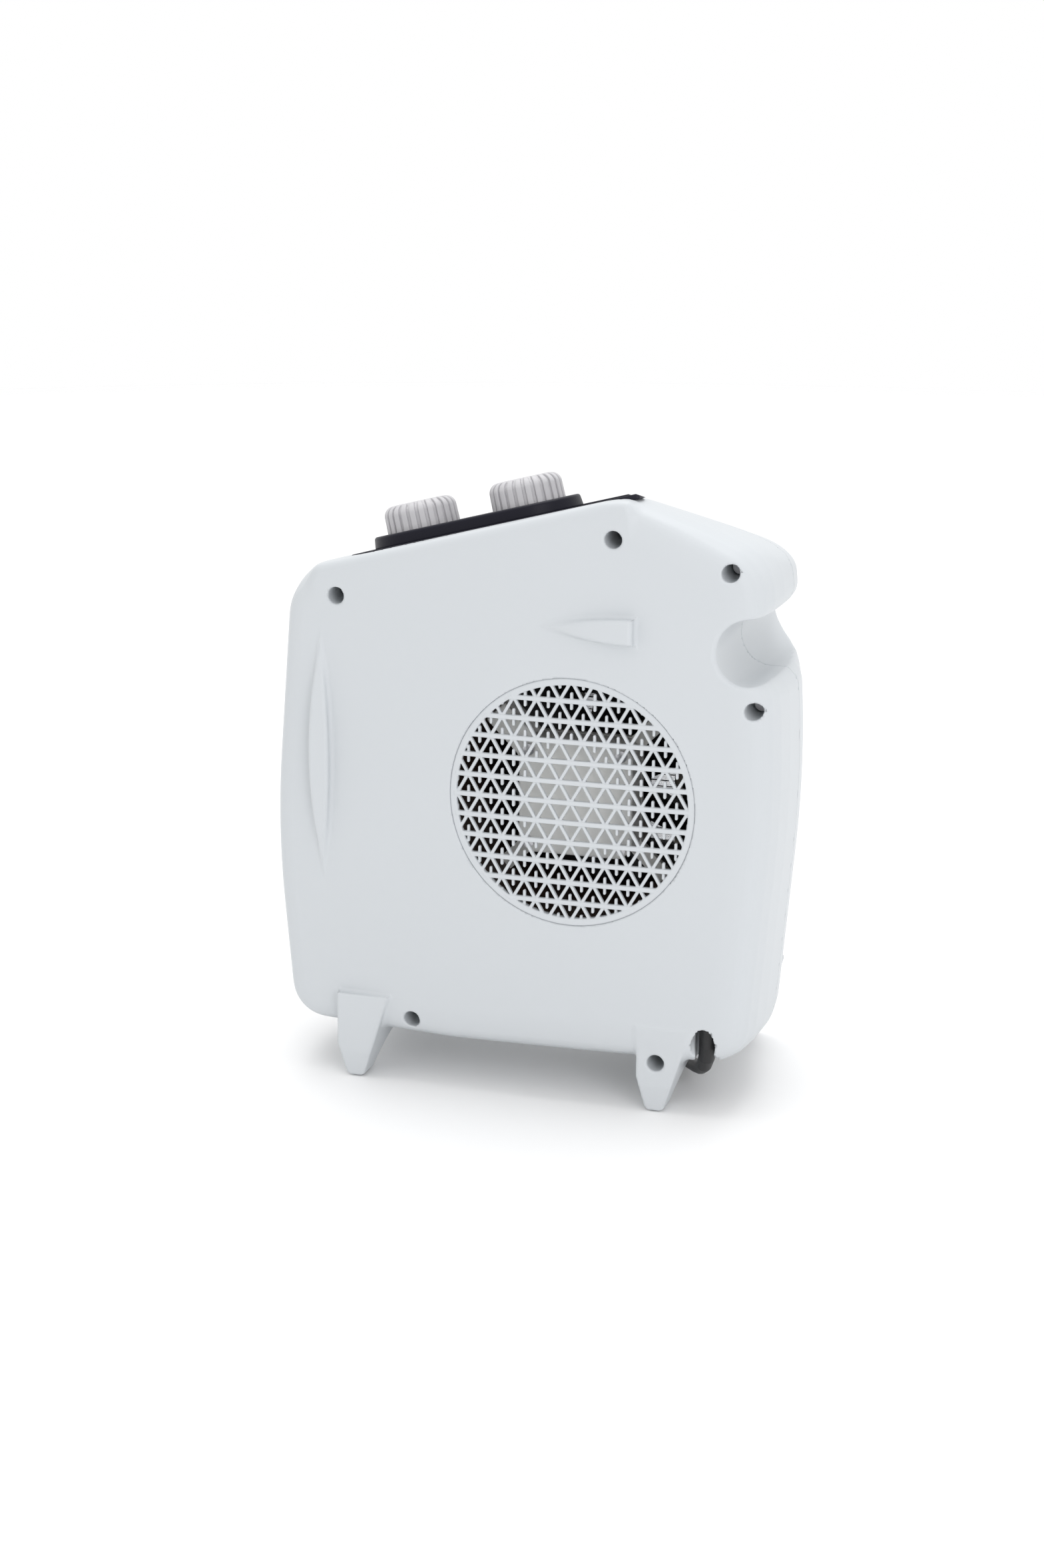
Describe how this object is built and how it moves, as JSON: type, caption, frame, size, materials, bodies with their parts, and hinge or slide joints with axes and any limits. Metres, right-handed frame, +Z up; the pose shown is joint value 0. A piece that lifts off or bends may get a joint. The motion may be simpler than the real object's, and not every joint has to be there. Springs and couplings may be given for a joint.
{
  "type": "ceramic fan heater",
  "caption": "Free-standing ceramic fan heater with a sloping control top, a side finger grip, a round lattice intake in the back and a coiled mains cord.",
  "frame": {"origin": "middle of the case at floor level", "axes": "+Z up, +Y towards the back with the air intake, -Y towards the warm air outlet, -X towards the finger grip"},
  "size_m": [0.2359, 0.2708, 0.2768],
  "materials": {
    "case_white": "satin moulded plastic, cool white",
    "inner_white": "plain moulded plastic",
    "outlet_black": "fine matt",
    "panel_black": "ribbed, fine matt",
    "plate_black": "satin edge, lightly textured top",
    "knob_grey": "fine matt",
    "ceramic_cream": "unglazed",
    "plain_steel": "zinc plated",
    "inner_black": "plain moulded plastic",
    "duct_brown": "heat-proof moulding",
    "fin_aluminium": "bright rolled",
    "brass": "plain",
    "cord_black": "smooth matt"
  },
  "bodies": {
    "case": {"rear_shell": "case_white", "front_shell": "case_white", "intake_grille": "case_white", "outlet_grille": "outlet_black", "top_panel": "panel_black", "control_plate": "plate_black", "thermostat_body": "ceramic_cream", "thermostat_nut": "plain_steel", "selector_body": "inner_black", "selector_nut": "plain_steel", "air_duct": "duct_brown", "motor_cover": "inner_white", "motor_bracket": "inner_white", "motor_body": "plain_steel", "ptc_frame": "inner_black", "ptc_fins": "fin_aluminium", "ptc_stones": "ceramic_cream", "ptc_terminals": "brass", "thermal_cutout": "inner_black", "tilt_bracket": "inner_black", "tilt_pin": "plain_steel", "terminal_block": "ceramic_cream", "case_screws": "plain_steel", "bracket_screws": "plain_steel", "cord_gland": "cord_black", "cord_clamp": "inner_white", "cord_tube": "cord_black", "cord_coil": "cord_black", "cord_tail": "cord_black", "plug_body": "cord_black", "plug_pins": "brass"},
    "rotor": {"motor_shaft": "plain_steel", "fan_impeller": "inner_black"},
    "thermostat": {"thermostat_knob": "knob_grey", "thermostat_shaft": "plain_steel"},
    "selector": {"selector_knob": "knob_grey", "selector_shaft": "plain_steel"},
    "pendulum": {"tilt_pendulum": "plain_steel"}
  },
  "joints": [
    {"name": "fan_spin", "type": "hinge", "parent": "case", "child": "rotor", "pos_m": [-0.0275, 0.0055, 0.139], "axis": [0, -1, 0], "continuous": true},
    {"name": "thermostat_turn", "type": "hinge", "parent": "case", "child": "thermostat", "pos_m": [0.05366, 0.0125, 0.24333], "axis": [0.2529, -0.0837, 0.9639], "range_deg": [-280, 0]},
    {"name": "selector_turn", "type": "hinge", "parent": "case", "child": "selector", "pos_m": [0.00434, 0.0125, 0.25627], "axis": [0.2529, -0.0837, 0.9639], "range_deg": [-270, 0]},
    {"name": "tilt_swing", "type": "hinge", "parent": "case", "child": "pendulum", "pos_m": [0.0725, -0.0165, 0.06], "axis": [0, 1, 0], "range_deg": [-20, 20]}
  ]
}
